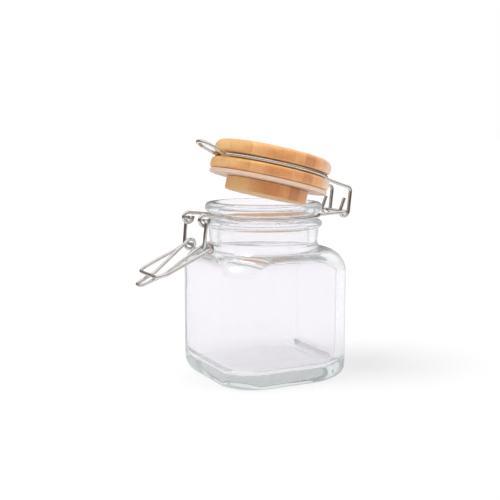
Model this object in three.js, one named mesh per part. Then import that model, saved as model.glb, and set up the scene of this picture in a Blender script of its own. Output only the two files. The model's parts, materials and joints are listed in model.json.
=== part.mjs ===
// Spice jar: a small square glass jar with a bamboo lid. Bent steel wires hinge the lid at the
// back and hold it down at the front with a lever and a bail, which together work as a toggle.
//
// Millimetres, +Z up. The origin is the middle of the base, on the table. The latch is at -Y, the
// hinge is at +Y, and every hinge line runs along X. The lid stands a little open and the latch
// hangs loose: this is the rest pose.

import * as THREE from 'three';

// Glass body, square with round corners
const bodyHalf = 26.5;
const bodyCorner = 9;
const wallThickness = 2.2;
const baseInset = 2.5;
const baseCorner = 16;
const heelHeight = 5.9;
const floorHeight = 5;
const floorRound = 5;
const shoulderBottom = 43.5;
const shoulderTop = 51.2;
const shoulderFullness = 1.7;
const faceFullness = 3.2;

// Round neck with a bead, a wire groove and a rolled lip
const neckRadius = 21.6;
const neckFillet = 3.5;
const mouthRadius = 18.5;
const beadRadius = 23.5;
const beadRound = 1.6;
const beadHeight = 61.3;
const grooveRadius = 21.1;
const grooveBottom = 63.4;
const grooveTop = 65.9;
const lipRadius = 23.5;
const lipRound = 1.9;
const crestHeight = 69.9;
const crestRound = 1.4;

// Wire and the hinge line of the lid
const wireRadius = 0.7;
const hingeY = 34;
const hingeZ = 65.2;
const lidTilt = 13.3;

// Lid stack, as it lies when the jar is shut
const sealBottom = 69.95;
const sealThickness = 0.9;
const sealRadius = 23.9;
const sealRim = 0.6;
const sealRound = 0.3;
const channelInner = 18.3;
const channelOuter = 23.3;
const channelSlope = 0.9;
const plugRadius = 16.6;
const plugWaist = 15.4;
const plugBottom = 64;
const plugBevel = 0.5;
const touchGap = 0.15;
const flangeRadius = 24.2;
const flangeThickness = 4.4;
const slotRadius = 21.3;
const slotHeight = 2.1;
const topRadius = 23.8;
const topThickness = 5.3;
const edgeRound = 1.5;
const topRound = 3;

// Wire round the neck
const neckWireRadius = 22.2;
const neckWireHeight = 64.6;
const backLegX = 9.3;
const frontLegX = 7.8;
const pivotY = -29.5;
const pivotZ = 64.1;
const eyeletRadius = 2;
const eyeletTail = 1;
const eyeletEnd = 345;
const frontLegRise = 0.6;

// Wire round the lid
const lidWireRadius = 22.4;
const tongueReach = 32.6;
const tongueHalf = 5.8;
const tongueBaseHalf = 4.2;
const tongueRise = 17;
const lidLegX = 7;
const lidLegY = 34.8;
const lidLegDrop = 1.2;
const hookRadius = 2;
const hookTail = 5.2;

// Lever: two arms, a coil at the foot of each, and a handle with a knee and a narrow tip
const armX = 9.8;
const coilY = -28.5;
const coilZ = 53.4;
const coilRadius = 2;
const coilOuterX = 9.6;
const coilInnerX = 7.7;
const handleSlope = 36;
const kneeHalf = 4.4;
const kneeY = -45;
const kneeZ = 43.8;
const tipHalf = 2.5;
const tipY = -53.4;
const tipZ = 40;

// Bail: the loop that swings on the coils and catches the tongue of the lid wire
const bailHalf = 11.6;
const bailLength = 23;
const bailSlope = 24.9;
const bailBend = 4.4;
const pinEndX = 6.8;

// Smoothness of the curved surfaces
const pointsPerCorner = 12;
const turnedSides = 48;
const bendStep = 22;
const ringStep = 10;

const radians = THREE.MathUtils.degToRad;
const flangeBottom = sealBottom + sealThickness + touchGap;
const flangeTop = flangeBottom + flangeThickness;
const slotTop = flangeTop + slotHeight;
const lidTop = slotTop + topThickness;
const lidWireHeight = flangeTop + slotHeight / 2;

// Profile points on an arc: across is the radius from the jar's axis, and up is the height.
function arcPoints(across, up, radius, from, to, steps) {
  const points = [];
  for (let i = 0; i <= steps; i++) {
    const angle = radians(from + ((to - from) * i) / steps);
    points.push(new THREE.Vector2(across + radius * Math.cos(angle), up + radius * Math.sin(angle)));
  }
  return points;
}

// One level of the glass: a square of the given half width, with rounded corners. Where the corner
// radius equals the half width, the level is a circle.
function glassLevel(half, corner, height) {
  const points = [];
  for (let i = 0; i < 4 * pointsPerCorner; i++) {
    const angle = radians(((i + 0.5) * 90) / pointsPerCorner);
    const x = Math.sign(Math.cos(angle)) * (half - corner) + corner * Math.cos(angle);
    const y = Math.sign(Math.sin(angle)) * (half - corner) + corner * Math.sin(angle);
    points.push(new THREE.Vector3(x, y, height));
  }
  return points;
}

// Levels of a rounded foot, from its flat underside out to the upright wall.
function footLevels(half, corner, inset, footCorner, bottom, height, steps) {
  const levels = [];
  for (let i = 0; i <= steps; i++) {
    const angle = (i / steps) * (Math.PI / 2);
    const out = Math.sin(angle);
    const levelCorner = THREE.MathUtils.lerp(footCorner, corner, out);
    levels.push(glassLevel(half - inset * (1 - out), levelCorner, bottom + height * (1 - Math.cos(angle))));
  }
  return levels;
}

// Levels of a shoulder, from the square body in to the round neck. The flat sides stay upright for
// longer than the corners, and then turn in with a tighter curve.
function shoulderLevels(half, corner, neck, bottom, top, steps) {
  const levels = [];
  const power = 2 / shoulderFullness;
  for (let i = 0; i <= steps; i++) {
    const angle = (i / steps) * (Math.PI / 2);
    const up = Math.min(Math.sin(angle) ** power, 1);
    const levelHalf = THREE.MathUtils.lerp(neck, half, (1 - up ** faceFullness) ** (1 / faceFullness));
    const levelCorner = THREE.MathUtils.lerp(neck, corner, Math.cos(angle) ** power);
    levels.push(glassLevel(levelHalf, levelCorner, bottom + (top - bottom) * up));
  }
  return levels;
}

// A closed skin over a stack of levels, with a flat cap on the first and the last.
function loft(levels) {
  const count = levels[0].length;
  const positions = levels.flat().flatMap((point) => point.toArray());
  const indices = [];
  for (let row = 0; row < levels.length - 1; row++) {
    for (let i = 0; i < count; i++) {
      const next = (i + 1) % count;
      const low = row * count;
      const high = low + count;
      indices.push(low + i, low + next, high + next, low + i, high + next, high + i);
    }
  }
  const firstCentre = positions.length / 3;
  const lastRow = (levels.length - 1) * count;
  positions.push(0, 0, levels[0][0].z, 0, 0, levels.at(-1)[0].z);
  for (let i = 0; i < count; i++) {
    const next = (i + 1) % count;
    indices.push(firstCentre, next, i, firstCentre + 1, lastRow + i, lastRow + next);
  }
  const geometry = new THREE.BufferGeometry();
  geometry.setAttribute('position', new THREE.Float32BufferAttribute(positions, 3));
  geometry.setIndex(indices);
  geometry.computeVertexNormals();
  return geometry;
}

// The glass is one skin: up the outside from the base to the lip, then down the inside to the floor.
function glassJar() {
  const innerTop = shoulderTop - wallThickness;
  const neckProfile = [
    ...arcPoints(neckRadius + neckFillet, shoulderTop + neckFillet, neckFillet, 258, 180, 4),
    ...arcPoints(beadRadius - beadRound, beadHeight, beadRound, -80, 80, 6),
    new THREE.Vector2(grooveRadius, grooveBottom),
    new THREE.Vector2(grooveRadius, grooveTop - 0.3),
    ...arcPoints(lipRadius - lipRound, grooveTop + lipRound, lipRound, -75, 0, 3),
    ...arcPoints(lipRadius - lipRound, crestHeight - lipRound, lipRound, 15, 90, 4),
    ...arcPoints(mouthRadius + crestRound, crestHeight - crestRound, crestRound, 90, 180, 4),
    ...arcPoints(mouthRadius + neckFillet, innerTop + neckFillet, neckFillet, 180, 258, 4),
  ];
  const innerHalf = bodyHalf - wallThickness;
  const innerCorner = bodyCorner - wallThickness;
  const innerFoot = [innerHalf, innerCorner, floorRound, innerCorner, floorHeight, floorRound, 4];
  const outerNeck = neckRadius + neckFillet;
  const innerNeck = mouthRadius + neckFillet;
  return loft([
    ...footLevels(bodyHalf, bodyCorner, baseInset, baseCorner, 0, heelHeight, 4),
    ...shoulderLevels(bodyHalf, bodyCorner, outerNeck, shoulderBottom, shoulderTop, 8),
    ...neckProfile.map((point) => glassLevel(point.x, point.x, point.y)),
    ...shoulderLevels(innerHalf, innerCorner, innerNeck, shoulderBottom, innerTop, 8).reverse(),
    ...footLevels(...innerFoot).reverse(),
  ]);
}

// A turned piece: the profile goes round the Z axis.
function turned(profile) {
  return new THREE.LatheGeometry(profile, turnedSides).rotateX(Math.PI / 2);
}

// The lid is turned from one bamboo block: a bevelled plug with a waist that the seal snaps into,
// a flange, a slot for the wire and a domed top disc.
function bambooLid() {
  const lowRound = flangeBottom + edgeRound;
  const highRound = flangeTop - edgeRound;
  return turned([
    new THREE.Vector2(0, plugBottom),
    new THREE.Vector2(plugRadius - plugBevel, plugBottom),
    new THREE.Vector2(plugRadius, plugBottom + plugBevel),
    new THREE.Vector2(plugRadius, sealBottom - sealRim - 2 * touchGap),
    new THREE.Vector2(plugWaist, sealBottom - sealRim - touchGap),
    new THREE.Vector2(plugWaist, flangeBottom),
    ...arcPoints(flangeRadius - edgeRound, lowRound, edgeRound, -90, 0, 4),
    ...arcPoints(flangeRadius - edgeRound, highRound, edgeRound, 0, 90, 4),
    new THREE.Vector2(slotRadius, flangeTop),
    new THREE.Vector2(slotRadius, slotTop),
    ...arcPoints(topRadius - edgeRound, slotTop + edgeRound, edgeRound, -90, 0, 4),
    ...arcPoints(topRadius - topRound, lidTop - topRound, topRound, 0, 90, 5),
    new THREE.Vector2(0, lidTop),
  ]);
}

// The seal is a ring of clear silicone, stretched over the waist of the plug. The lip of the jar has
// pressed a wide channel into its underside.
function siliconeSeal() {
  const sealTop = sealBottom + sealThickness;
  const rimBottom = sealBottom - sealRim;
  const inner = plugWaist + touchGap;
  const profile = [
    ...arcPoints(sealRadius - sealRound, rimBottom + sealRound, sealRound, -90, 0, 3),
    ...arcPoints(sealRadius - sealRound, sealTop - sealRound, sealRound, 0, 90, 3),
    new THREE.Vector2(inner, sealTop),
    new THREE.Vector2(inner, rimBottom),
    new THREE.Vector2(channelInner, rimBottom),
    new THREE.Vector2(channelInner + channelSlope, sealBottom),
    new THREE.Vector2(channelOuter - channelSlope, sealBottom),
    new THREE.Vector2(channelOuter, rimBottom),
  ];
  return turned([...profile, profile[0].clone()]);
}

// A wire's centre line, given as stations that lie close together only in the bends.
class WireLine extends THREE.Curve {
  constructor(stations) {
    super();
    this.stations = stations;
  }

  getPointAt(share, target = new THREE.Vector3()) {
    return target.copy(this.stations[Math.round(share * (this.stations.length - 1))]);
  }

  getTangentAt(share, target = new THREE.Vector3()) {
    const last = this.stations.length - 1;
    const here = Math.round(share * last);
    const arriving = this.direction(Math.max(here - 1, 0));
    const leaving = this.direction(Math.min(here, last - 1));
    return target.copy(arriving.add(leaving)).normalize();
  }

  direction(from) {
    return this.stations[from + 1].clone().sub(this.stations[from]).normalize();
  }
}

// Stations along corner points, with each inner corner bent to its own radius.
function bentLine(corners) {
  const stations = [corners[0].at];
  for (let i = 1; i < corners.length - 1; i++) {
    const { at, bend } = corners[i];
    const back = corners[i - 1].at.clone().sub(at).normalize();
    const ahead = corners[i + 1].at.clone().sub(at).normalize();
    const halfAngle = back.angleTo(ahead) / 2;
    const turn = Math.PI - 2 * halfAngle;
    const axis = ahead.clone().cross(back).normalize();
    const centre = at.clone().addScaledVector(back.clone().add(ahead).normalize(), bend / Math.sin(halfAngle));
    const start = at.clone().addScaledVector(back, bend / Math.tan(halfAngle)).sub(centre);
    const steps = Math.ceil(turn / radians(bendStep));
    for (let step = 0; step <= steps; step++) {
      stations.push(start.clone().applyAxisAngle(axis, (turn * step) / steps).add(centre));
    }
  }
  stations.push(corners.at(-1).at);
  return stations;
}

function corner(x, y, z, bend = 0) {
  return { at: new THREE.Vector3(x, y, z), bend };
}

// Stations round the jar's axis. Angles start at +X and turn towards +Y.
function ringLine(radius, height, from, to) {
  const steps = Math.ceil(Math.abs(to - from) / ringStep);
  return arcPoints(0, 0, radius, from, to, steps).map((p) => new THREE.Vector3(p.x, p.y, height));
}

// Stations round a line along X. Angles start at +Y and turn towards +Z, and the wire may move
// sideways from one X to another, as it does in a coil.
function sideLine(y, z, radius, from, to, startX, endX = startX) {
  const steps = Math.ceil(Math.abs(to - from) / bendStep);
  const shift = (endX - startX) / steps;
  return arcPoints(y, z, radius, from, to, steps).map((p, i) => new THREE.Vector3(startX + shift * i, p.x, p.y));
}

// The angle at which a straight wire from a point touches a circle, both seen along X. The side
// says on which side of the circle the wire runs.
function touchAngle(centreY, centreZ, radius, fromY, fromZ, side) {
  const towards = Math.atan2(fromZ - centreZ, fromY - centreY);
  const distance = Math.hypot(fromZ - centreZ, fromY - centreY);
  return THREE.MathUtils.radToDeg(towards + side * Math.acos(radius / distance));
}

// Where a straight leg at the given X meets the line that leaves a ring at the given angle.
function legCornerY(radius, angle, legX) {
  const x = radius * Math.cos(radians(angle));
  const y = radius * Math.sin(radians(angle));
  return y + (x - legX) / Math.tan(radians(angle));
}

// Both halves of a wire that is the same on either side: the half with +X runs from the middle out.
function mirroredLine(...parts) {
  const half = [];
  for (const station of parts.flat()) {
    if (half.length === 0 || station.distanceTo(half.at(-1)) > 0.01) half.push(station);
  }
  const other = half.slice(1).map((station) => new THREE.Vector3(-station.x, station.y, station.z));
  return [...other.reverse(), ...half];
}

// A round wire along its centre line.
function wire(stations) {
  const section = new THREE.Shape();
  section.absarc(0, 0, wireRadius, 0, 2 * Math.PI);
  const steps = stations.length - 1;
  return new THREE.ExtrudeGeometry(section, { steps, curveSegments: 4, extrudePath: new WireLine(stations) });
}

// One wire grips the neck. It makes the crossbar of the hinge at the back, and at the front its two
// legs end in eyelets, bent round the pivots of the lever.
function neckWire() {
  const backAngle = 60;
  const frontAngle = -63;
  const backCornerY = legCornerY(neckWireRadius, backAngle, backLegX);
  const frontCornerY = legCornerY(neckWireRadius, frontAngle, frontLegX);
  const frontCornerZ = neckWireHeight + frontLegRise;
  const touch = touchAngle(pivotY, pivotZ, eyeletRadius, frontCornerY, frontCornerZ, 1);
  const ring = ringLine(neckWireRadius, neckWireHeight, backAngle, frontAngle);
  const eyelet = sideLine(pivotY, pivotZ, eyeletRadius, touch, eyeletEnd, frontLegX);
  const tail = eyelet.at(-1).clone();
  tail.y -= eyeletTail * Math.sin(radians(eyeletEnd));
  tail.z += eyeletTail * Math.cos(radians(eyeletEnd));
  return wire(mirroredLine(
    bentLine([
      corner(0, hingeY, hingeZ),
      corner(backLegX, hingeY, hingeZ, 1.8),
      corner(backLegX, backCornerY, neckWireHeight, 2),
      { at: ring[0] },
    ]),
    ring,
    bentLine([{ at: ring.at(-1) }, corner(frontLegX, frontCornerY, frontCornerZ, 2), { at: eyelet[0] }]),
    eyelet,
    [tail],
  ));
}

// One wire runs in the slot of the lid. At the front it leaves the slot as a tongue for the bail,
// and at the back two legs end in hooks round the crossbar.
function lidWire() {
  const frontAngle = -73;
  const backAngle = 66;
  const riseStart = topRadius + 0.6;
  const tongueTop = lidWireHeight + (tongueReach - riseStart) * Math.tan(radians(tongueRise));
  const baseY = legCornerY(lidWireRadius, frontAngle, tongueBaseHalf);
  const backY = legCornerY(lidWireRadius, backAngle, lidLegX);
  const legZ = lidWireHeight - lidLegDrop;
  const touch = touchAngle(hingeY, hingeZ, hookRadius, lidLegY, legZ, -1);
  const hookEnd = -188;
  const ring = ringLine(lidWireRadius, lidWireHeight, frontAngle, backAngle);
  const hook = sideLine(hingeY, hingeZ, hookRadius, touch, hookEnd, lidLegX);
  const tail = hook.at(-1).clone();
  tail.y += hookTail * Math.sin(radians(hookEnd));
  tail.z -= hookTail * Math.cos(radians(hookEnd));
  return wire(mirroredLine(
    bentLine([
      corner(0, -tongueReach, tongueTop),
      corner(tongueHalf, -tongueReach, tongueTop, 3.8),
      corner(tongueBaseHalf, -riseStart, lidWireHeight, 2),
      corner(tongueBaseHalf, baseY, lidWireHeight, 1.4),
      { at: ring[0] },
    ]),
    ring,
    bentLine([
      { at: ring.at(-1) },
      corner(lidLegX, backY, lidWireHeight, 2),
      corner(lidLegX, lidLegY, legZ, 2),
      { at: hook[0] },
    ]),
    hook,
    [tail],
  ));
}

// The lever is one wire: from the tip up the handle, round the coil from the inside out, up the arm,
// and in through the eyelet.
function leverHandle() {
  const start = 360 + 90 + handleSlope;
  const touch = touchAngle(coilY, coilZ, coilRadius, pivotY, pivotZ, 1);
  const coil = sideLine(coilY, coilZ, coilRadius, start, touch, coilInnerX, coilOuterX);
  return wire(mirroredLine(
    bentLine([
      corner(0, tipY, tipZ),
      corner(tipHalf, tipY, tipZ, 2),
      corner(kneeHalf, kneeY, kneeZ, 6),
      { at: coil[0] },
    ]),
    coil,
    bentLine([{ at: coil.at(-1) }, corner(armX, pivotY, pivotZ, 1.3), corner(pinEndX, pivotY, pivotZ)]),
  ));
}

// The bail is a rectangular loop with its ends turned in through the coils. It lies on the handle.
function latchBail() {
  const endY = coilY - bailLength * Math.cos(radians(bailSlope));
  const endZ = coilZ - bailLength * Math.sin(radians(bailSlope));
  return wire(mirroredLine(bentLine([
    corner(0, endY, endZ),
    corner(bailHalf, endY, endZ, bailBend),
    corner(bailHalf, coilY, coilZ, 1.3),
    corner(pinEndX, coilY, coilZ),
  ])));
}

function piece(name, geometry, color, roughness, metalness) {
  const mesh = new THREE.Mesh(geometry, new THREE.MeshStandardMaterial({ color, roughness, metalness }));
  mesh.name = name;
  return mesh;
}

const steel = [0xb9b6ae, 0.25, 1];

// The lid and what it carries turn together about the crossbar, from shut to the tilt at rest.
const lidPieces = new THREE.Group();
lidPieces.position.set(0, -hingeY, -hingeZ);
lidPieces.add(
  piece('bamboo_lid', bambooLid(), 0xd69a5a, 0.55, 0),
  piece('silicone_seal', siliconeSeal(), 0xe9dcd3, 0.4, 0),
  piece('lid_wire', lidWire(), ...steel),
);
const lidHinge = new THREE.Group();
lidHinge.position.set(0, hingeY, hingeZ);
lidHinge.rotation.x = -radians(lidTilt);
lidHinge.add(lidPieces);

const spiceJar = new THREE.Group();
spiceJar.add(
  piece('glass_jar', glassJar(), 0xdfe9e6, 0.05, 0),
  piece('neck_wire', neckWire(), ...steel),
  lidHinge,
  piece('lever_handle', leverHandle(), ...steel),
  piece('latch_bail', latchBail(), ...steel),
);

export default spiceJar;
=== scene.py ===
# %% [markdown]
# # A spice jar with a bamboo lid and a wire latch
#
# The jar is four kinds of making side by side: moulded glass, turned bamboo, a ring of silicone
# and bent steel wire. The frame gives every piece its place and its motion. This lesson gives each
# one the round surfaces and the finish that the real one has.

# %% Load the frame
import bmesh
import bpy
import json
import math
from mathutils import Matrix, Vector, noise


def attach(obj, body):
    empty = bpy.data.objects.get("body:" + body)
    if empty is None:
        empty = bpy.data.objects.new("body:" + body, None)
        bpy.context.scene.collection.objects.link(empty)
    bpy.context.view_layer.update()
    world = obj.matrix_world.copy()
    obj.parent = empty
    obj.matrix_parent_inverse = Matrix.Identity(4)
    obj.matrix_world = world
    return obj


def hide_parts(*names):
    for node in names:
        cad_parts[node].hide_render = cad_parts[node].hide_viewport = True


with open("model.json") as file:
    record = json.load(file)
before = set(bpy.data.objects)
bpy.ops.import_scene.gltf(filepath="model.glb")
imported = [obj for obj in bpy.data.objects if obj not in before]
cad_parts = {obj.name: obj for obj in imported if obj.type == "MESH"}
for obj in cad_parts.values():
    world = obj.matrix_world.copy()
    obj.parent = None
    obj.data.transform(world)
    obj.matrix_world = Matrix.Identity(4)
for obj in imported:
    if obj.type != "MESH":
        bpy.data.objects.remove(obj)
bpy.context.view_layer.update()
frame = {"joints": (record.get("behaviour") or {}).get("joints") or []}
joints = {joint["name"]: joint for joint in frame["joints"]}

# %% [markdown]
# ## Units and hinge lines
#
# Lengths are in millimetres, as a maker would give them, and become metres when a mesh is made.
# The hinge lines and the tilt of the lid come from the frame's joints, so the dressed pieces turn
# on the same lines as the solids. One helper brings everything into the scene: camera, pieces,
# table and lamps.

# %% Units and hinge lines
MM = 0.001


def joint_line(name):
    """The Y and Z of a joint's line, in millimetres."""
    place = joints[name]["pos_m"]
    return place[1] / MM, place[2] / MM


hinge_y, hinge_z = joint_line("lid_hinge")
pivot_y, pivot_z = joint_line("lever_pivot")
coil_y, coil_z = joint_line("bail_pivot")
lid_tilt = -joints["lid_hinge"]["range_deg"][0]


def in_scene(name, data):
    """A new object with this data, linked to the scene."""
    obj = bpy.data.objects.new(name, data)
    bpy.context.scene.collection.objects.link(obj)
    return obj


print(f"hinge at Y {hinge_y:.1f} Z {hinge_z:.1f}, lid open by {lid_tilt:.1f} degrees")

# %% [markdown]
# ## Camera
#
# The camera stands near the corner between the latch side and the right side, a little above the
# lid, and looks slightly down. Its place is given from the jar's axis: how far round, how far out
# and how high.

# %% Camera
camera_azimuth = math.radians(62)
camera_distance = 344.99
camera_height = 93.87
camera_pitch = math.radians(7.2)
camera_pan = math.radians(-0.9)
focal_length = 61.9
sensor_width = 36

camera = in_scene("camera", bpy.data.cameras.new("camera"))
camera.data.lens = focal_length
camera.data.sensor_width = sensor_width
camera.location = Vector((
    math.sin(camera_azimuth) * camera_distance,
    -math.cos(camera_azimuth) * camera_distance,
    camera_height,
)) * MM
camera.rotation_euler = (math.pi / 2 - camera_pitch, 0, camera_azimuth - camera_pan)
bpy.context.scene.camera = camera
print("camera at", [round(value, 4) for value in camera.location])

# %% [markdown]
# ## Shader maths as Python
#
# A finish could be wired up link by link, but it is easier to read as an expression. `Number`
# wraps one output socket, and each arithmetic sign adds the Math node that does it.

# %% Shader maths


class Number:
    """A socket that takes part in Python arithmetic."""

    def __init__(self, nodes, socket):
        self.nodes = nodes
        self.socket = socket

    def math(self, operation, *values):
        settings = {"operation": operation}
        return self.nodes.number("ShaderNodeMath", settings, dict(enumerate(values)))

    def __add__(self, other):
        return self.math("ADD", self, other)

    __radd__ = __add__

    def __sub__(self, other):
        return self.math("SUBTRACT", self, other)

    def __rsub__(self, other):
        return self.math("SUBTRACT", other, self)

    def __mul__(self, other):
        return self.math("MULTIPLY", self, other)

    __rmul__ = __mul__

    def __truediv__(self, other):
        return self.math("DIVIDE", self, other)

    def floor(self):
        return self.math("FLOOR", self)

    def absolute(self):
        return self.math("ABSOLUTE", self)

    def larger(self, other):
        return self.math("MAXIMUM", self, other)

    def smooth(self, low, high):
        """0 below low, 1 above high, and a soft step between."""
        settings = {"interpolation_type": "SMOOTHSTEP"}
        inputs = {"Value": self, "From Min": low, "From Max": high}
        return self.nodes.number("ShaderNodeMapRange", settings, inputs)


print("shader maths ready")

# %% [markdown]
# ## Filling a node tree
#
# Materials, the room and the sweep of the wires are all trees of nodes, so one class fills them
# all. `Nodes` adds any node from its type, its settings and what goes into its sockets: a constant,
# a socket, a `Number`, or another node, which stands for its first output.

# %% Node trees
MIX_FACTOR, MIX_FIRST, MIX_SECOND, MIX_RESULT = 0, 6, 7, 2  # the Mix node's sockets for colours


class Nodes:
    """A node tree that is being filled."""

    def __init__(self, tree):
        self.tree = tree
        self.tree.nodes.clear()

    def put(self, socket, value):
        """Links a socket to what feeds it, or sets it to a constant."""
        if isinstance(value, Number):
            value = value.socket
        elif isinstance(value, bpy.types.Node):
            value = value.outputs[0]
        if isinstance(value, bpy.types.NodeSocket):
            self.tree.links.new(value, socket)
        else:
            socket.default_value = value

    def add(self, kind, settings=None, inputs=None):
        node = self.tree.nodes.new(kind)
        for name, value in (settings or {}).items():
            setattr(node, name, value)
        for key, value in (inputs or {}).items():
            self.put(node.inputs[key], value)
        return node

    def number(self, kind, settings=None, inputs=None, output=0):
        return Number(self, self.add(kind, settings, inputs).outputs[output])

    def numbers(self, kind, *names):
        """Some outputs of a node that takes nothing in."""
        outputs = self.add(kind).outputs
        return [Number(self, outputs[name]) for name in names]

    def parts(self, vector):
        """The three numbers of a vector."""
        node = self.add("ShaderNodeSeparateXYZ", inputs={"Vector": vector})
        return [Number(self, output) for output in node.outputs]

    def vector(self, x, y, z):
        return self.add("ShaderNodeCombineXYZ", inputs={"X": x, "Y": y, "Z": z})

    def noise(self, vector, scale, detail=2.0, roughness=0.5):
        return self.number("ShaderNodeTexNoise", inputs={
            "Vector": vector,
            "Scale": scale,
            "Detail": detail,
            "Roughness": roughness,
        })

    def strip_noise(self, strip):
        """One random number for each whole number."""
        return self.number("ShaderNodeTexWhiteNoise", {"noise_dimensions": "1D"}, {"W": strip})

    def blend(self, factor, first, second):
        """Two colours, mixed by a factor from 0 to 1."""
        node = self.add("ShaderNodeMix", {"data_type": "RGBA"})
        for place, value in ((MIX_FACTOR, factor), (MIX_FIRST, first), (MIX_SECOND, second)):
            self.put(node.inputs[place], (*value, 1) if isinstance(value, tuple) else value)
        return node.outputs[MIX_RESULT]

    def ramp(self, factor, *stops):
        """A colour ramp through (place, colour) stops."""
        node = self.add("ShaderNodeValToRGB", inputs={"Fac": factor})
        elements = node.color_ramp.elements
        while len(elements) < len(stops):
            elements.new(1)
        for element, (place, color) in zip(elements, stops):
            element.position = place
            element.color = (*color, 1)
        return node

    def choose(self, factor, first, second):
        """Two shaders, mixed by a factor from 0 to 1."""
        return self.add("ShaderNodeMixShader", inputs={0: factor, 1: first, 2: second})

    def bump(self, height, distance, strength):
        """A bump of the given depth in millimetres."""
        inputs = {"Height": height, "Distance": distance * MM, "Strength": strength}
        return self.add("ShaderNodeBump", inputs=inputs)


def finish_named(name):
    """A new material and its empty node tree."""
    material = bpy.data.materials.new(name)
    material.use_nodes = True
    return material, Nodes(material.node_tree)


print("node trees ready")

# %% [markdown]
# ## Steel wire
#
# Spring wire is drawn through a die, so its fine scratches run along it, however it is bent later.
# A pattern in Object coordinates would run straight on where the wire bends, so each wire carries
# two attributes instead: `run`, the length along the wire, and `around`, the direction out of it.
# The scratches are noise on those two, long along the run and fine across it. Handling leaves some
# stretches duller and browner than others.

# %% Steel finish


def steel_finish():
    material, nodes = finish_named("drawn_steel_wire")
    run = nodes.number("ShaderNodeAttribute", {"attribute_name": "run"}, output="Fac")
    around = nodes.add("ShaderNodeAttribute", {"attribute_name": "around"}).outputs["Vector"]
    side, up, _ = nodes.parts(around)
    drawn = nodes.noise(nodes.vector(side * 6, up * 6, run * 120), 1.0, detail=4, roughness=0.7)
    handled = nodes.noise(nodes.vector(side, up, run * 260), 1.0, detail=3)
    tint = nodes.blend(handled.smooth(0.35, 0.7), (0.54, 0.51, 0.47), (0.70, 0.68, 0.66))
    color = nodes.blend(drawn.smooth(0.3, 0.75), tint, (0.74, 0.72, 0.70))
    shader = nodes.add("ShaderNodeBsdfPrincipled", inputs={
        "Base Color": color,
        "Metallic": 1.0,
        "Roughness": 0.08 + drawn * 0.08 + handled * 0.06,
        "Normal": nodes.bump(drawn, 0.012, 0.5),
    })
    nodes.add("ShaderNodeOutputMaterial", inputs={"Surface": shader})
    return material


steel = steel_finish()
print("finish:", steel.name)

# %% [markdown]
# ## Clear glass
#
# The glass bends what is behind it, mirrors a little of the room, and is faintly green where a
# look goes through it lengthwise. A tint on the surface would colour thin and thick glass alike,
# so the green comes from an absorbing volume, and grows with thickness by itself. A faint ripple
# of the mould and a haze of fingerprints keep the walls from looking like a computed surface.
#
# Two short cuts spare the renderer long paths. Light that only passes through to the table takes a
# straight way, as a transparent surface. Light that is caught in a wall and mirrored to and fro
# comes out in the end a little dimmer, so after a few mirrorings the glass gives a painted grey at
# once, a grey that glows by itself in place of that light. The same painted grey draws a fine line
# of painted shade at the upright edges, where the wall is seen along its length.

# %% Glass finish


def glass_finish():
    material, nodes = finish_named("clear_glass")
    given = nodes.add("ShaderNodeTexCoord").outputs
    place = given["Object"]
    ripple = nodes.noise(place, 70, roughness=0.4)
    haze = nodes.noise(place, 160, detail=5, roughness=0.6)
    color = nodes.blend(nodes.noise(place, 30), (0.948, 0.943, 0.964), (0.964, 0.940, 0.960))
    bending = nodes.add("ShaderNodeBsdfPrincipled", inputs={
        "Base Color": color,
        "Roughness": haze.smooth(0.5, 0.9) * 0.03,
        "IOR": 1.5,
        "Transmission Weight": 1.0,
        "Normal": nodes.bump(ripple, 0.25, 0.6),
    })
    passing = nodes.add("ShaderNodeBsdfTransparent", inputs={"Color": (0.955, 0.96, 0.965, 1)})
    # painted grey: a fixed grey that glows by itself, standing in for light dimmed in the wall
    painted_grey = nodes.add("ShaderNodeEmission", inputs={"Color": (0.56, 0.585, 0.58, 1)})

    shadow, diffuse, mirrorings = nodes.numbers(
        "ShaderNodeLightPath", "Is Shadow Ray", "Is Diffuse Ray", "Glossy Depth",
    )
    facing_away = nodes.number("ShaderNodeLayerWeight", inputs={"Blend": 0.5}, output="Facing")
    lying = nodes.parts(given["Normal"])[2].absolute().smooth(0.3, 0.8)
    # painted shade: a dark grey line on upright walls where the surface turns away from the view
    painted_edge_line = facing_away.smooth(0.60, 0.82) * (1 - lying) * 0.6
    bent_or_painted = nodes.choose(mirrorings.smooth(3, 4).larger(painted_edge_line), bending, painted_grey)
    nodes.add("ShaderNodeOutputMaterial", inputs={
        "Surface": nodes.choose(shadow.larger(diffuse), bent_or_painted, passing),
        "Volume": nodes.add("ShaderNodeVolumeAbsorption", inputs={
            "Color": (0.30, 0.45, 0.42, 1),
            "Density": 7.0,
        }),
    })
    return material


glass = glass_finish()
print("finish:", glass.name)

# %% [markdown]
# ## Bamboo
#
# The block is glued up from upright strips that run along the hinge line, and the lid is turned
# from it. Each strip has its own tone, from straw to a reddish brown. Towards the hinge the wood is
# painted paler: painted light on the end that the lamps leave in shade. The fibres are long threads
# along the strip. Where the side of the lid runs along them it is pale and streaky; where the lathe
# cut across them, on the side that faces the camera, the cut ends soak up the oil and are darker,
# with dark dots. A flat picture of wood would need a seam somewhere. A solid texture has none, and
# gives streaks and dots at once, since it is stretched along the fibres and cut wherever the surface
# is. It is turned with the lid and measured from the lid's axis, so that the strips stand square to
# the flat faces.

# %% Bamboo finish
strip_width = 4.8
strip_shift = 15.8
strip_waver = 0.4


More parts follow.
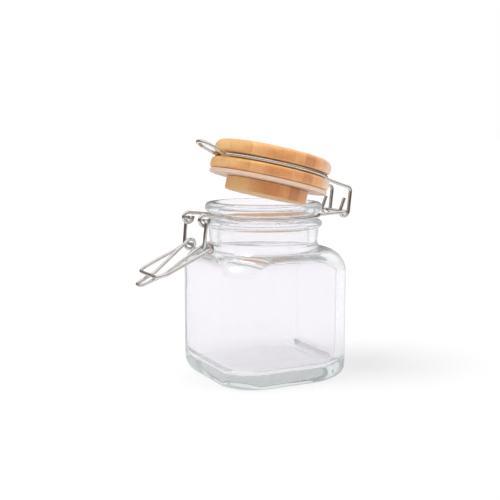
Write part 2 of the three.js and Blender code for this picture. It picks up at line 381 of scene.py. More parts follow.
def bamboo_finish():
    material, nodes = finish_named("turned_bamboo")
    given = nodes.add("ShaderNodeTexCoord").outputs
    tilt = math.radians(lid_tilt)
    axis_y = (hinge_y * (math.cos(tilt) - 1) - hinge_z * math.sin(tilt)) * MM
    square = nodes.add("ShaderNodeMapping", {"vector_type": "POINT"}, {
        "Vector": given["Object"],
        "Rotation": (tilt, 0, 0),
        "Location": (0, -axis_y, 0),
    })
    x, y, z = nodes.parts(square)
    cut_across = nodes.parts(given["Normal"])[0].absolute().smooth(0.45, 0.95)
    waver = nodes.noise(square, 40) - 0.5
    across = (y + waver * (strip_waver * MM) - strip_shift * MM) / (strip_width * MM)
    strip = across.floor()
    own = nodes.strip_noise(strip + 3.5)
    redness = nodes.strip_noise(strip + 41.5)
    seam = (across - strip - 0.5).absolute().smooth(0.46, 0.5)
    threads = nodes.vector(x * 60, y * 2200, z * 2200)
    fibre = nodes.noise(threads, 1.0, detail=3, roughness=0.6)
    streak = nodes.noise(nodes.vector(x * 25, y * 330, z * 330), 1.0, detail=3)
    cloud = nodes.noise(square, 120, detail=3)

    tone = own * 0.24 + cloud * 0.55 + streak * 0.6 - 0.2
    along_grain = nodes.ramp(
        tone, (0.0, (0.85, 0.42, 0.14)), (0.5, (0.97, 0.58, 0.24)), (1.0, (1.00, 0.72, 0.37)),
    )
    end_grain = nodes.ramp(
        tone, (0.0, (0.58, 0.21, 0.07)), (0.5, (0.78, 0.33, 0.12)), (1.0, (0.90, 0.51, 0.24)),
    )
    color = nodes.blend(cut_across, along_grain, end_grain)
    for share, layer in (
        (redness.smooth(0.6, 0.85) * (0.12 + cut_across * 0.27), (0.40, 0.11, 0.05)),
        # painted light: towards the hinge the wood is painted paler, on the end the lamps leave in
        # shade
        (y.smooth(0.005, 0.021) * 0.9, (0.99, 0.79, 0.60)),
        (fibre.smooth(0.52, 0.75) * (0.15 + cut_across * 0.35), (0.22, 0.08, 0.03)),
        (seam * 0.18, (0.30, 0.12, 0.045)),
    ):
        color = nodes.blend(share, color, layer)
    shader = nodes.add("ShaderNodeBsdfPrincipled", inputs={
        "Base Color": color,
        "Roughness": 0.42 + fibre * 0.15 + cloud * 0.08,
        "Coat Weight": 0.1,
        "Coat Roughness": 0.25,
        "Normal": nodes.bump(fibre - seam * 0.5, 0.04, 0.6),
    })
    nodes.add("ShaderNodeOutputMaterial", inputs={"Surface": shader})
    return material


bamboo = bamboo_finish()
print("finish:", bamboo.name)

# %% [markdown]
# ## Silicone
#
# The seal is a soft, milky ring. With transmission alone it would look like glass. Light goes into
# it and comes out near by, so it takes a share of subsurface scattering and a wide, dull highlight,
# with the fine dust that silicone picks up.

# %% Silicone finish


def silicone_finish():
    material, nodes = finish_named("milky_silicone")
    place = nodes.add("ShaderNodeTexCoord").outputs["Object"]
    dust = nodes.noise(place, 900, detail=4, roughness=0.7)
    color = nodes.blend(nodes.noise(place, 80), (0.93, 0.62, 0.46), (0.96, 0.72, 0.58))
    color = nodes.blend(dust.smooth(0.62, 0.75) * 0.3, color, (0.95, 0.92, 0.9))
    shader = nodes.add("ShaderNodeBsdfPrincipled", inputs={
        "Base Color": color,
        "Roughness": 0.38 + dust * 0.15,
        "IOR": 1.41,
        "Transmission Weight": 0.1,
        "Subsurface Weight": 0.6,
        "Subsurface Radius": (1.0, 0.8, 0.7),
        "Subsurface Scale": 0.0015,
        "Normal": nodes.bump(dust, 0.02, 0.4),
    })
    nodes.add("ShaderNodeOutputMaterial", inputs={"Surface": shader})
    return material


silicone = silicone_finish()
print("finish:", silicone.name)

# %% [markdown]
# ## Meshes from rows of points
#
# The glass, the lid and the seal are all made the same way: rows of points, one above the other,
# with faces between neighbours. A Screw modifier could turn the lid, but not the body of the jar,
# which is square, and rows of points do for both. A closed profile joins its last row to its first;
# an open one is capped at both ends with a fan. The helper recalculates the normals, so that every
# face points outwards. Edges sharper than 40 degrees stay sharp.

# %% Mesh helpers
sharp_edge = math.radians(40)


def arc(across, up, radius, start, end, steps):
    """Profile points (radius from the axis, height) round a centre."""
    points = []
    for i in range(steps + 1):
        angle = math.radians(start + (end - start) * i / steps)
        points.append((across + radius * math.cos(angle), up + radius * math.sin(angle)))
    return points


def piece_from(mesh, name, material, body, slot, *nodes):
    """A finished piece: it stands for its CAD nodes and rides on their body."""
    mesh.materials.clear()
    mesh.materials.append(material)
    mesh.polygons.foreach_set("use_smooth", [True] * len(mesh.polygons))
    mesh.set_sharp_from_angle(angle=sharp_edge)
    obj = in_scene(name, mesh)
    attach(obj, body)
    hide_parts(*nodes)
    print(f"{name}: {len(mesh.polygons)} faces on {body}")


def skin(name, rows, closed=False):
    """A mesh over rows of points in millimetres, each row a closed ring."""
    count = len(rows[0])
    points = [Vector(point) * MM for row in rows for point in row]
    faces = []
    for low in range(len(rows) if closed else len(rows) - 1):
        high = (low + 1) % len(rows)
        for i in range(count):
            after = (i + 1) % count
            lower, upper = low * count, high * count
            faces.append((lower + i, lower + after, upper + after, upper + i))
    if not closed:
        for row, turn in ((0, -1), (len(rows) - 1, 1)):
            centre = len(points)
            points.append(sum((Vector(point) for point in rows[row]), Vector()) / count * MM)
            ring = [row * count + i for i in range(count)]
            faces += [(centre, ring[i], ring[(i + turn) % count]) for i in range(count)]
    mesh = bpy.data.meshes.new(name)
    mesh.from_pydata(points, [], faces)
    edit = bmesh.new()
    edit.from_mesh(mesh)
    bmesh.ops.recalc_face_normals(edit, faces=edit.faces)
    edit.to_mesh(mesh)
    edit.free()
    return mesh


print("mesh helpers ready")

# %% [markdown]
# ## Levels of the glass
#
# The jar is square below and round above, and the glass flows from one to the other. A bevelled box
# and a cylinder could be joined, but the join would show through the glass as a seam. Here every
# level is a square with round corners, and a level whose corner is as wide as the square is a
# circle. So one function draws the body, the shoulder and the neck, and the shoulder only has to
# change the two numbers from one to the other. The inside gets the small unevenness that a mould's
# plunger leaves.

# %% Glass levels
points_per_corner = 48
shoulder_fullness, face_fullness = 1.7, 3.2
plunger_depth, plunger_waves, plunger_ripples = 0.16, 0.09, 0.25


def glass_level(half, corner, height):
    """One ring of points: a square of the given half width, with round corners."""
    points = []
    for i in range(4 * points_per_corner):
        angle = math.radians((i + 0.5) * 90 / points_per_corner)
        x = math.copysign(half - corner, math.cos(angle)) + corner * math.cos(angle)
        y = math.copysign(half - corner, math.sin(angle)) + corner * math.sin(angle)
        points.append(Vector((x, y, height)))
    return points


def foot_levels(half, corner, inset, foot_corner, bottom, height, steps):
    """Levels that widen on a quarter round, from the foot up to the full square."""
    levels = []
    for i in range(steps + 1):
        angle = i / steps * math.pi / 2
        out = math.sin(angle)
        level_corner = foot_corner + (corner - foot_corner) * out
        level = bottom + height * (1 - math.cos(angle))
        levels.append(glass_level(half - inset * (1 - out), level_corner, level))
    return levels


def shoulder_levels(half, corner, neck, bottom, top, steps):
    """Levels that close in from the square to the circle of the neck."""
    levels = []
    power = 2 / shoulder_fullness
    for i in range(steps + 1):
        angle = i / steps * math.pi / 2
        up = min(math.sin(angle) ** power, 1)
        face_out = (1 - up ** face_fullness) ** (1 / face_fullness)
        corner_out = max(math.cos(angle), 0) ** power
        level_half = neck + (half - neck) * face_out
        level_corner = neck + (corner - neck) * corner_out
        levels.append(glass_level(level_half, level_corner, bottom + (top - bottom) * up))
    return levels


def plunger_marks(levels):
    """Moves the points of the inside a little, towards or away from the axis."""
    for level in levels:
        for point in level:
            push = noise.noise(point * plunger_waves) + 0.4 * noise.noise(point * plunger_ripples)
            scale = 1 + plunger_depth * push / max(math.hypot(point.x, point.y), 1)
            point.x *= scale
            point.y *= scale
    return levels


print("each level of the glass has", 4 * points_per_corner, "points")

# %% [markdown]
# ## The glass jar
#
# The outside runs from the base up to the lip, with a bead and a groove for the wire on the way,
# and the same skin goes on down the inside to the floor. One closed skin tells the renderer which
# side is glass and which is air. The inside corners are rounder than a wall of even thickness would
# make them, because the photograph shows no light caught there.

# %% Glass jar
body_half, body_corner, wall = 26.5, 9, 2.2
base_inset, base_corner, heel_height = 2.5, 16, 5.9
floor_height, floor_round = 5, 5
inside_corner = 8.4
shoulder_bottom, shoulder_top = 43.5, 51.2
neck_radius, neck_fillet = 21.6, 3.5
fillet_foot = 268  # degrees round the fillet, where it meets the shoulder
bead_radius, bead_round, bead_height = 23.5, 1.6, 61.3
groove_radius, groove_bottom, groove_top, groove_ease = 21.1, 63.4, 65.9, 0.3
lip_radius, lip_round = 23.5, 1.9
mouth_radius, crest_height, crest_round = 18.5, 69.9, 1.4
heel_steps, floor_steps, shoulder_steps = 16, 14, 40


def glass_jar():
    inner_half, inner_top = body_half - wall, shoulder_top - wall
    outer_neck, inner_neck = neck_radius + neck_fillet, mouth_radius + neck_fillet
    neck_profile = [
        *arc(outer_neck, shoulder_top + neck_fillet, neck_fillet, fillet_foot, 180, 16),
        *arc(bead_radius - bead_round, bead_height, bead_round, -80, 80, 20),
        (groove_radius, groove_bottom),
        (groove_radius, groove_top - groove_ease),
        *arc(lip_radius - lip_round, groove_top + lip_round, lip_round, -75, 0, 14),
        *arc(lip_radius - lip_round, crest_height - lip_round, lip_round, 4, 90, 16),
        *arc(mouth_radius + crest_round, crest_height - crest_round, crest_round, 90, 180, 14),
        *arc(inner_neck, inner_top + neck_fillet, neck_fillet, 180, fillet_foot, 16),
    ]
    outside = [
        *foot_levels(body_half, body_corner, base_inset, base_corner, 0, heel_height, heel_steps),
        *shoulder_levels(
            body_half, body_corner, outer_neck, shoulder_bottom, shoulder_top, shoulder_steps,
        ),
        *[glass_level(across, across, up) for across, up in neck_profile],
    ]
    inside = [
        *foot_levels(
            inner_half, inside_corner, floor_round, inside_corner,
            floor_height, floor_round, floor_steps,
        ),
        *shoulder_levels(
            inner_half, inside_corner, inner_neck, shoulder_bottom, inner_top, shoulder_steps,
        ),
    ]
    return skin("glass_jar_skin", outside + plunger_marks(inside)[::-1])


piece_from(glass_jar(), "clear_glass_jar", glass, "jar", "glass", "glass_jar")

# %% [markdown]
# ## Turning
#
# The lid and its seal are round, so each is a profile that goes round an axis. Drawing them in
# their tilted place would tangle up every number, so they are drawn as they lie when the jar is
# shut, and then swung about the hinge line to the tilt at rest.

# %% Turning
turned_sides = 192
to_rest = (
    Matrix.Translation((0, hinge_y * MM, hinge_z * MM))
    @ Matrix.Rotation(-math.radians(lid_tilt), 4, "X")
    @ Matrix.Translation((0, -hinge_y * MM, -hinge_z * MM))
)


def turned(name, profile, closed=False):
    """A profile of (radius, height) points, turned round the jar's axis."""
    rows = []
    for across, up in profile:
        angles = [math.tau * i / turned_sides for i in range(turned_sides)]
        rows.append([(across * math.cos(a), across * math.sin(a), up) for a in angles])
    mesh = skin(name, rows, closed)
    mesh.transform(to_rest)
    return mesh


print("turned pieces have", turned_sides, "sides")

# %% [markdown]
# ## The lid and its seal
#
# The lid is one block of bamboo: a plug that hangs in the mouth, a flange that lies over the lip, a
# slot for the wire, and a disc on top. The seal sits round the plug, under the flange, and has a
# shallow channel between two rims. The block could be stacked from cylinders, but the lathe rounds
# the outer edges, and in one profile each round is an arc. Lid and seal stand a hair apart, so that
# no two faces share a place.

# %% Lid and seal
seal_bottom, seal_thickness, seal_radius = 69.95, 0.9, 23.9
seal_rim, seal_round = 0.6, 0.3
channel_inner, channel_outer, channel_slope = 18.3, 23.3, 0.9
plug_radius, plug_waist, plug_bottom, plug_bevel = 16.6, 15.4, 64.0, 0.5
touch_gap = 0.15
flange_radius, flange_thickness = 24.2, 4.4
slot_radius, slot_height = 21.3, 2.1
top_radius, top_thickness = 23.8, 5.3
edge_round, top_round, crown_radius = 1.5, 3, 0.25

rim_bottom = seal_bottom - seal_rim
flange_bottom = seal_bottom + seal_thickness + touch_gap
flange_top = flange_bottom + flange_thickness
slot_top = flange_top + slot_height
lid_top = slot_top + top_thickness


def bamboo_lid():
    low_round = flange_bottom + edge_round
    high_round = flange_top - edge_round
    return turned("bamboo_lid_turned", [
        *arc(plug_radius - plug_bevel, plug_bottom + plug_bevel, plug_bevel, -90, 0, 6),
        (plug_radius, rim_bottom - 2 * touch_gap),
        (plug_waist, rim_bottom - touch_gap),
        (plug_waist, flange_bottom),
        *arc(flange_radius - edge_round, low_round, edge_round, -90, 0, 12),
        *arc(flange_radius - edge_round, high_round, edge_round, 0, 90, 12),
        (slot_radius, flange_top),
        (slot_radius, slot_top),
        *arc(top_radius - edge_round, slot_top + edge_round, edge_round, -90, 0, 12),
        *arc(top_radius - top_round, lid_top - top_round, top_round, 0, 90, 16),
        (crown_radius, lid_top),
    ])


def silicone_seal():
    seal_top = seal_bottom + seal_thickness
    inner = plug_waist + touch_gap
    return turned("silicone_seal_ring", [
        *arc(seal_radius - seal_round, rim_bottom + seal_round, seal_round, -90, 0, 8),
        *arc(seal_radius - seal_round, seal_top - seal_round, seal_round, 0, 90, 8),
        (inner, seal_top),
        (inner, rim_bottom),
        (channel_inner, rim_bottom),
        (channel_inner + channel_slope, seal_bottom),
        (channel_outer - channel_slope, seal_bottom),
        (channel_outer, rim_bottom),
    ], closed=True)


piece_from(bamboo_lid(), "turned_bamboo_lid", bamboo, "lid", "bamboo", "bamboo_lid")
piece_from(silicone_seal(), "milky_silicone_seal", silicone, "lid", "silicone", "silicone_seal")

# %% [markdown]
# ## Centre lines
#
# A bent wire is settled by its centre line: straight stretches, with a bend of a given radius at
# each corner, and round stretches where it follows the neck, the lid, a hinge or a coil. The line
# could be drawn by hand as a Bezier curve, but then no bend would keep its radius when a size
# changes. Only one half is drawn, from the middle out, and the other half is its mirror image, as
# the real wires are bent.

# %% Centre lines
bend_step, ring_step = 5, 2.5  # in degrees, from one station to the next


def corner(x, y, z, bend=0.0):
    return Vector((x, y, z)), bend


def bent_line(*corners):
    """Stations along corner points, with each inner corner bent to its own radius."""
    stations = [corners[0][0]]
    for before, (at, bend), after in zip(corners, corners[1:], corners[2:]):
        back = (before[0] - at).normalized()
        ahead = (after[0] - at).normalized()
        half_angle = back.angle(ahead) / 2
        turn = math.pi - 2 * half_angle
        axis = ahead.cross(back).normalized()
        centre = at + (back + ahead).normalized() * (bend / math.sin(half_angle))
        start = at + back * (bend / math.tan(half_angle)) - centre
        steps = math.ceil(turn / math.radians(bend_step))
        for step in range(steps + 1):
            stations.append(Matrix.Rotation(turn * step / steps, 3, axis) @ start + centre)
    stations.append(corners[-1][0])
    return stations


def ring_line(radius, height, start, end):
    """Stations round the jar's axis. Angles start at +X and turn towards +Y."""
    steps = math.ceil(abs(end - start) / ring_step)
    return [Vector((*point, height)) for point in arc(0, 0, radius, start, end, steps)]


def side_line(y, z, radius, start, end, start_x, end_x=None):
    """Stations round a line along X. Angles start at +Y and turn towards +Z."""
    steps = math.ceil(abs(end - start) / bend_step)
    shift = 0 if end_x is None else (end_x - start_x) / steps
    points = arc(y, z, radius, start, end, steps)
    return [Vector((start_x + shift * i, *point)) for i, point in enumerate(points)]


def touch_angle(centre_y, centre_z, radius, from_y, from_z, side):
    """Where a straight wire from a point touches a circle, both seen along X."""
    towards = math.atan2(from_z - centre_z, from_y - centre_y)
    distance = math.hypot(from_z - centre_z, from_y - centre_y)
    return math.degrees(towards + side * math.acos(radius / distance))


def leg_corner_y(radius, angle, leg_x):
    """Where a straight leg meets the line that leaves a ring at the given angle."""
    x = radius * math.cos(math.radians(angle))
    y = radius * math.sin(math.radians(angle))
    return y + (x - leg_x) / math.tan(math.radians(angle))


def mirrored(*parts):
    """Both halves of a wire, from the half with +X."""
    half = []
    for station in (station for part in parts for station in part):
        if not half or (station - half[-1]).length > 0.01:
            half.append(station)
    other = [Vector((-station.x, station.y, station.z)) for station in half[1:]]
    return other[::-1] + half


def wire_length(line):
    """How much wire a line of stations takes, in millimetres."""
    return sum((after - before).length for before, after in zip(line, line[1:]))


print("a full ring would have", round(360 / ring_step), "stations")

# %% [markdown]
# ## Neck wire and lid wire
#
# The neck wire lies in the groove of the neck. At the back it reaches out to the crossbar that the
# lid hangs on, and at the front its two legs end in eyelets. The lid wire lies in the slot of the
# lid. Its tongue stands out at the front, where the bail holds it down, and its two legs hook round
# the crossbar. Where a straight leg meets a ring, an eyelet or a hook, the place is worked out from
# the sizes, so that the wire runs on without a kink.

# %% Neck wire and lid wire
neck_wire_radius, neck_wire_height = 22.2, 64.6
back_leg_x, front_leg_x, front_leg_rise = 9.3, 7.8, 0.6
eyelet_radius, eyelet_end, eyelet_tail = 2.0, 345, 1.0
lid_wire_radius, lid_wire_height = 22.4, flange_top + slot_height / 2
tongue_reach, tongue_half, tongue_base_half, tongue_rise = 32.6, 5.8, 4.2, 17
tongue_gap, tongue_bend, tongue_root_bend = 0.6, 3.8, 1.4
lid_leg_x, lid_leg_y, lid_leg_drop = 7.0, 34.8, 1.2
hook_radius, hook_tail = 2.0, 5.2
crossbar_bend, leg_bend = 1.8, 2


def bend_neck_wire():
    back_angle, front_angle = 60, -63
    back_y = leg_corner_y(neck_wire_radius, back_angle, back_leg_x)
    front_y = leg_corner_y(neck_wire_radius, front_angle, front_leg_x)
    front_z = neck_wire_height + front_leg_rise
    touch = touch_angle(pivot_y, pivot_z, eyelet_radius, front_y, front_z, 1)
    ring = ring_line(neck_wire_radius, neck_wire_height, back_angle, front_angle)
    eyelet = side_line(pivot_y, pivot_z, eyelet_radius, touch, eyelet_end, front_leg_x)
    end = math.radians(eyelet_end)
    tail = eyelet[-1] + Vector((0, -math.sin(end), math.cos(end))) * eyelet_tail
    return mirrored(
        bent_line(
            corner(0, hinge_y, hinge_z),
            corner(back_leg_x, hinge_y, hinge_z, crossbar_bend),
            corner(back_leg_x, back_y, neck_wire_height, leg_bend),
            (ring[0], 0),
        ),
        ring,
        bent_line((ring[-1], 0), corner(front_leg_x, front_y, front_z, leg_bend), (eyelet[0], 0)),
        eyelet,
        [tail],
    )


def bend_lid_wire():
    front_angle, back_angle, hook_end = -73, 66, -188
    rise_start = top_radius + tongue_gap
    rise = (tongue_reach - rise_start) * math.tan(math.radians(tongue_rise))
    tongue_top = lid_wire_height + rise
    base_y = leg_corner_y(lid_wire_radius, front_angle, tongue_base_half)
    back_y = leg_corner_y(lid_wire_radius, back_angle, lid_leg_x)
    leg_z = lid_wire_height - lid_leg_drop
    touch = touch_angle(hinge_y, hinge_z, hook_radius, lid_leg_y, leg_z, -1)
    ring = ring_line(lid_wire_radius, lid_wire_height, front_angle, back_angle)
    hook = side_line(hinge_y, hinge_z, hook_radius, touch, hook_end, lid_leg_x)
    end = math.radians(hook_end)
    tail = hook[-1] + Vector((0, math.sin(end), -math.cos(end))) * hook_tail
    line = mirrored(
        bent_line(
            corner(0, -tongue_reach, tongue_top),
            corner(tongue_half, -tongue_reach, tongue_top, tongue_bend),
            corner(tongue_base_half, -rise_start, lid_wire_height, leg_bend),
            corner(tongue_base_half, base_y, lid_wire_height, tongue_root_bend),
            (ring[0], 0),
        ),
        ring,
        bent_line(
            (ring[-1], 0),
            corner(lid_leg_x, back_y, lid_wire_height, leg_bend),
            corner(lid_leg_x, lid_leg_y, leg_z, leg_bend),
            (hook[0], 0),
        ),
        hook,
        [tail],
    )
    return [to_rest @ (station * MM) / MM for station in line]


neck_wire = bend_neck_wire()
lid_wire = bend_lid_wire()
print(f"neck wire {wire_length(neck_wire):.1f} mm, lid wire {wire_length(lid_wire):.1f} mm")

# %% [markdown]
# ## Lever and bail
#
# The lever is a handle and its own hinge pins: from the finger tip the wire runs up to a coil on
# each side and on to the eyelets of the neck wire, where its ends are turned in. The bail is a
# loop whose ends are turned in through the coils. With the bail over the tongue, pushing the lever
# down pulls the lid shut. Pins could be pieces of their own, but on the real jar each is the turned
# end of its wire, so here they are plain bends. A coil moves along its axis as it turns.

# %% Lever and bail
arm_x, coil_radius, coil_outer_x, coil_inner_x = 9.8, 2.0, 9.6, 7.7
handle_slope = 36
knee_half, knee_y, knee_z, knee_bend = 4.4, -45, 43.8, 6
tip_half, tip_y, tip_z, tip_bend = 2.5, -53.4, 40, 2
bail_half, bail_length, bail_slope, bail_bend = 11.6, 23.0, 24.9, 4.4
pin_end_x, pin_bend = 6.8, 1.3


def bend_lever_handle():
    start = 360 + 90 + handle_slope  # a whole turn past the direction of the handle
    touch = touch_angle(coil_y, coil_z, coil_radius, pivot_y, pivot_z, 1)
    coil = side_line(coil_y, coil_z, coil_radius, start, touch, coil_inner_x, coil_outer_x)
    return mirrored(
        bent_line(
            corner(0, tip_y, tip_z),
            corner(tip_half, tip_y, tip_z, tip_bend),
            corner(knee_half, knee_y, knee_z, knee_bend),
            (coil[0], 0),
        ),
        coil,
        bent_line(
            (coil[-1], 0),
            corner(arm_x, pivot_y, pivot_z, pin_bend),
            corner(pin_end_x, pivot_y, pivot_z),
        ),
    )


def bend_latch_bail():
    end_y = coil_y - bail_length * math.cos(math.radians(bail_slope))
    end_z = coil_z - bail_length * math.sin(math.radians(bail_slope))
    return mirrored(bent_line(
        corner(0, end_y, end_z),
        corner(bail_half, end_y, end_z, bail_bend),
        corner(bail_half, coil_y, coil_z, pin_bend),
        corner(pin_end_x, coil_y, coil_z),
    ))


lever_handle = bend_lever_handle()
latch_bail = bend_latch_bail()
print(f"lever {wire_length(lever_handle):.1f} mm, bail {wire_length(latch_bail):.1f} mm")

# %% [markdown]
# ## Sweeping the wires
#
# A curve with a round bevel would have the shape of the wire, but couldn't store the `run` and
# `around` attributes for the drawn scratches. So Geometry Nodes sweep it: the centre line becomes
# a curve, and a circle is carried along it. The tree is built once and has its sizes as named
# inputs.

# %% Sweep tree
wire_radius, wire_sides = 0.7, 24


def wire_tree():
    tree = bpy.data.node_groups.new("bent_wire", "GeometryNodeTree")
    for name, kind, way, value in (
        ("Geometry", "NodeSocketGeometry", "INPUT", None),
        ("Wire Radius", "NodeSocketFloat", "INPUT", wire_radius * MM),
        ("Sides", "NodeSocketInt", "INPUT", wire_sides),
        ("Finish", "NodeSocketMaterial", "INPUT", None),
        ("Geometry", "NodeSocketGeometry", "OUTPUT", None),
    ):
        socket = tree.interface.new_socket(name, in_out=way, socket_type=kind)
        if value is not None:
            socket.default_value = value
    nodes = Nodes(tree)

    def stored(geometry, name, kind, value):
        settings = {"data_type": kind, "domain": "POINT"}
        inputs = {"Geometry": geometry, "Name": name, "Value": value}
        return nodes.add("GeometryNodeStoreNamedAttribute", settings, inputs)

    given = nodes.add("NodeGroupInput").outputs
    path = nodes.add("GeometryNodeMeshToCurve", inputs={"Mesh": given["Geometry"]})
    own_thickness = nodes.add(
        "GeometryNodeInputNamedAttribute", {"data_type": "FLOAT"}, {"Name": "thickness"},
    )
    curve = nodes.add("GeometryNodeSetCurveRadius", inputs={"Curve": path, "Radius": own_thickness})
    along = nodes.add("GeometryNodeSplineParameter").outputs["Length"]
    circle = nodes.add("GeometryNodeCurvePrimitiveCircle", {"mode": "RADIUS"}, {
        "Resolution": given["Sides"],
        "Radius": given["Wire Radius"],
    })
    place = nodes.add("GeometryNodeInputPosition")
    outward = nodes.add("ShaderNodeVectorMath", {"operation": "NORMALIZE"}, {0: place})
    swept = nodes.add("GeometryNodeCurveToMesh", inputs={
        "Curve": stored(curve, "run", "FLOAT", along),
        "Profile Curve": stored(circle, "around", "FLOAT_VECTOR", outward),
        "Fill Caps": True,
    })
    real = nodes.add("GeometryNodeRealizeInstances", inputs={"Geometry": swept})
    dressed = nodes.add("GeometryNodeSetMaterial", inputs={
        "Geometry": real,
        "Material": given["Finish"],
    })
    nodes.add("NodeGroupOutput", inputs={"Geometry": dressed})
    return tree


bent_wire = wire_tree()
print("sweep tree:", len(bent_wire.nodes), "nodes")

# %% [markdown]
# ## The four wires
#
# Each centre line becomes a mesh of edges that carries the tree as a modifier, and the result is
# kept as a plain mesh. A cut end is a little thinner than the wire, because the cutter leaves a
# small bevel. Modelling it on eight ends by hand would be slow, so each station carries its own
# thickness, and the last one at each end is thinner.

# %% Four wires
cut_bevel, cut_thickness = 0.12, 0.78


def with_bevelled_ends(stations):
    """The stations and their thickness, with two more at each cut end."""
    first = stations[0].lerp(stations[1], cut_bevel / (stations[1] - stations[0]).length)
    last = stations[-1].lerp(stations[-2], cut_bevel / (stations[-2] - stations[-1]).length)
    points = [stations[0], first, *stations[1:-1], last, stations[-1]]
    return points, [cut_thickness, *[1.0] * (len(points) - 2), cut_thickness]


def swept_wire(name, stations):
    """A mesh of the wire, made by the node tree on a path that is then removed."""
    points, thickness = with_bevelled_ends(stations)
    edges = [(i, i + 1) for i in range(len(points) - 1)]
    path = bpy.data.meshes.new(name + "_path")
    path.from_pydata([point * MM for point in points], edges, [])
    path.attributes.new("thickness", "FLOAT", "POINT").data.foreach_set("value", thickness)
    carrier = in_scene(name + "_path", path)
    modifier = carrier.modifiers.new("bent_wire", "NODES")
    modifier.node_group = bent_wire
    for item in bent_wire.interface.items_tree:
        if item.item_type == "SOCKET" and item.name == "Finish":
            modifier[item.identifier] = steel
    bpy.context.view_layer.update()
    evaluated = carrier.evaluated_get(bpy.context.evaluated_depsgraph_get())
    mesh = bpy.data.meshes.new_from_object(evaluated)
    mesh.name = name
    bpy.data.objects.remove(carrier)
    return mesh


for node, line, body in (
    ("neck_wire", neck_wire, "jar"),
    ("lid_wire", lid_wire, "lid"),
    ("lever_handle", lever_handle, "lever"),
    ("latch_bail", latch_bail, "bail"),
):
    piece_from(swept_wire(node + "_swept", line), "drawn_" + node, steel, body, "steel_wire", node)

# %% [markdown]
# ## What each ray meets
#
# Glass and steel look like what is around them. Walls and furniture could be built for them to
# mirror, but Cycles can also tell which kind of ray asks for a colour. So table and room answer
# each kind by itself: straight from the camera, through glass, or from a mirror. All other rays
# only carry light.

# %% Kinds of ray


class Rays:
    """What kind of ray is asking: straight from the camera, through glass, or from a mirror."""

    def __init__(self, nodes):
        self.camera, glossy, self.through = nodes.numbers(
            "ShaderNodeLightPath", "Is Camera Ray", "Is Glossy Ray", "Is Transmission Ray",
        )
        self.seen = self.camera.larger(glossy).larger(self.through)
        self.mirrored = (self.seen - self.camera - self.through).larger(0.0)


print("ray kinds ready")

# %% [markdown]
# ## The white table
#
# The jar stands on a white sweep that runs into a white background. It could be a bent sheet, as in
# a studio. A flat table that reaches far out is simpler, because the white room takes over behind
# it. It is a plain matt white, and keeps the jar's soft shadow. What the camera sees of it,
# straight, in a mirror or through glass, gets a little light of its own on top, which lifts it to
# white without lighting the jar more. In a mirror it reaches only half a metre before a dim, warm
# room begins, which gives the wires their brown sides.

# %% Table
white = (1, 1, 1, 1)
dim_room = (0.15, 0.12, 0.105)
table_glow = 0.22
table_reach = 60.0  # in metres, as are the next two
sweep_from, sweep_to = 0.25, 0.6


def table_finish():
    material, nodes = finish_named("white_sweep")
    rays = Rays(nodes)
    place = nodes.add("ShaderNodeTexCoord").outputs["Object"]
    grain = nodes.noise(place, 400, detail=3)
    matt = nodes.add("ShaderNodeBsdfDiffuse", inputs={
        "Color": nodes.blend(grain, (0.79, 0.785, 0.80), (0.81, 0.805, 0.82)),
    })
    glow = nodes.add("ShaderNodeEmission", inputs={"Color": white, "Strength": table_glow})
    lifted = nodes.add("ShaderNodeAddShader", inputs={0: matt, 1: glow})
    x, y, _ = nodes.parts(place)
    beyond = (x * x + y * y).smooth(sweep_from**2, sweep_to**2) * rays.mirrored
    dim = nodes.add("ShaderNodeEmission", inputs={"Color": (*dim_room, 1)})
    surface = nodes.choose(beyond, nodes.choose(rays.seen, matt, lifted), dim)
    nodes.add("ShaderNodeOutputMaterial", inputs={"Surface": surface})
    return material


def table():
    mesh = bpy.data.meshes.new("table")
    far = table_reach
    corners = [(-far, -far, 0), (far, -far, 0), (far, far, 0), (-far, far, 0)]
    mesh.from_pydata(corners, [], [(0, 1, 2, 3)])
    mesh.materials.append(table_finish())
    sweep = in_scene("table", mesh)


table()
print(f"the table reaches {table_reach:.0f} m each way")

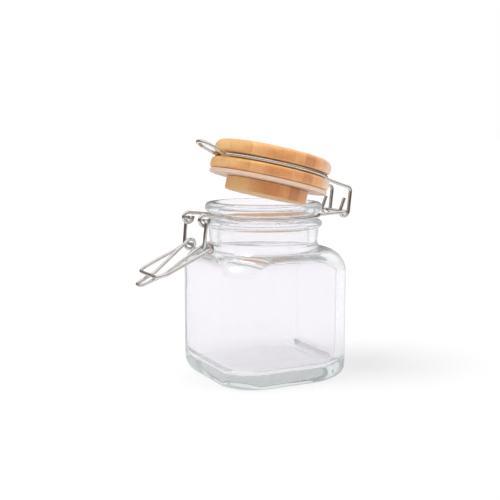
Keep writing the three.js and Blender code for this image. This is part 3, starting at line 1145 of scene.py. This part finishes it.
# %% [markdown]
# ## The room
#
# The room is a world without walls: an even daylight for the rays that carry light, and a
# brightness of its own for each of the others. Seen straight it is white. Through glass it is white
# at eye level and greyer overhead, which draws the soft lines in the neck and the base. In a mirror
# it is dim and warm under a bright ceiling, which gives the wires their light tops.

# %% Room
daylight = 0.50
overhead_loss = 0.38
bright_ceiling = (1.15, 1.15, 1.17)


def room():
    world = bpy.data.worlds.new("studio")
    world.use_nodes = True
    bpy.context.scene.world = world
    nodes = Nodes(world.node_tree)
    rays = Rays(nodes)
    up = nodes.parts(nodes.add("ShaderNodeTexCoord").outputs["Generated"])[2]
    through = 1 - up.smooth(0.35, 0.85) * overhead_loss
    mirrored = nodes.blend(up.smooth(0.28, 0.52), dim_room, bright_ceiling)
    plain = rays.camera + rays.through * through + (1 - rays.seen) * daylight
    both = nodes.add("ShaderNodeAddShader", inputs={
        0: nodes.add("ShaderNodeBackground", inputs={"Color": white, "Strength": plain}),
        1: nodes.add("ShaderNodeBackground", inputs={"Color": mirrored, "Strength": rays.mirrored}),
    })
    nodes.add("ShaderNodeOutputWorld", inputs={"Surface": both})


room()
print("room ready, with daylight", daylight)

# %% [markdown]
# ## Two lamps
#
# Daylight alone would leave the lid flat, without a lit and a shaded side. A lamp close by would
# light the near side of the jar more than the far side, so two wide, far lamps do it: a high one
# from the left and a low one from the right. Neither is seen in a mirror, and the low one not
# through glass either, so that no hard spot shows.

# %% Lamps


def lamp(name, around, height, softness, strength):
    """A soft far lamp: degrees round from the camera to the right, degrees up, width in degrees."""
    data = bpy.data.lights.new(name, "SUN")
    data.angle = math.radians(softness)
    data.energy = strength
    obj = in_scene(name, data)
    obj.rotation_euler = (math.radians(90 - height), 0, camera_azimuth + math.radians(around))
    obj.visible_glossy = False
    return obj


lamp("key_left", -72, 57, 40, 1.5)
fill = lamp("fill_right", 66, 20, 60, 1.2)
fill.visible_transmission = False
print("two lamps ready")

# %% [markdown]
# ## Finish
#
# The dressed jar has to fill the same space as the solids. Last, the view transform is set to
# Standard.

# %% Finish
bpy.context.scene.view_settings.view_transform = "Standard"
